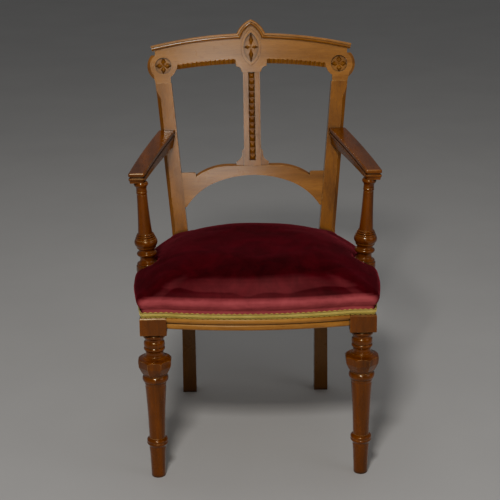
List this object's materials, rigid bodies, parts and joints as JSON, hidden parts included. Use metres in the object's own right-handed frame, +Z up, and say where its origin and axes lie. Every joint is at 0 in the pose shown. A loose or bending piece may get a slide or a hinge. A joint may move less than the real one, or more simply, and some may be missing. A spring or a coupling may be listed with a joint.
{
  "type": "gothic revival open armchair",
  "caption": "Gothic revival open armchair: velvet sprung seat, raked back with a carved crest rail and nail-head splat, open arms on turned supports.",
  "frame": {"origin": "on the floor, at the middle of the chair's footprint box", "axes": "+Z up, +Y towards the back of the chair, +X to the sitter's left"},
  "size_m": [0.562, 0.6321, 0.9355],
  "materials": {
    "mahogany_carved": "french polished",
    "beech": "sawn",
    "mahogany_turned": "french polished",
    "mahogany_back": "french polished",
    "mahogany_rail": "french polished",
    "steel_screw": "turned",
    "calico": "plain weave",
    "cotton": "felted",
    "gold_braid": "woven gimp",
    "horsehair": "curled hair",
    "hessian": "open weave",
    "copper_spring": "coppered wire",
    "lay_cord": "twisted cord",
    "velvet": "cut pile",
    "jute_web": "woven jute",
    "blued_tack": "blued"
  },
  "bodies": {
    "root": {"arched_rail": "mahogany_carved", "arm_dowels": "beech", "arm_left": "mahogany_turned", "arm_right": "mahogany_turned", "arm_support_left": "mahogany_turned", "arm_support_right": "mahogany_turned", "back_corner_block_left": "beech", "back_corner_block_right": "beech", "back_leg_left": "mahogany_back", "back_leg_right": "mahogany_back", "back_rail": "mahogany_rail", "block_screws": "steel_screw", "calico_undercover": "calico", "cornice_left": "mahogany_carved", "cornice_right": "mahogany_carved", "cotton_wadding": "cotton", "crest_dowels": "beech", "crest_rail": "mahogany_carved", "front_corner_block_left": "beech", "front_corner_block_right": "beech", "front_leg_left": "mahogany_turned", "front_leg_right": "mahogany_turned", "front_rail": "mahogany_rail", "gimp_braid": "gold_braid", "hair_stuffing": "horsehair", "hessian_spring_cover": "hessian", "hood_moulding_left": "mahogany_carved", "hood_moulding_right": "mahogany_carved", "seat_springs": "copper_spring", "side_rail_left": "mahogany_rail", "side_rail_right": "mahogany_rail", "splat": "mahogany_carved", "splat_bracket_left": "mahogany_carved", "splat_bracket_right": "mahogany_carved", "spring_lashing": "lay_cord", "velvet_cover": "velvet", "webbing_crosswise": "jute_web", "webbing_lengthwise": "jute_web", "webbing_tacks": "blued_tack"}
  },
  "joints": []
}
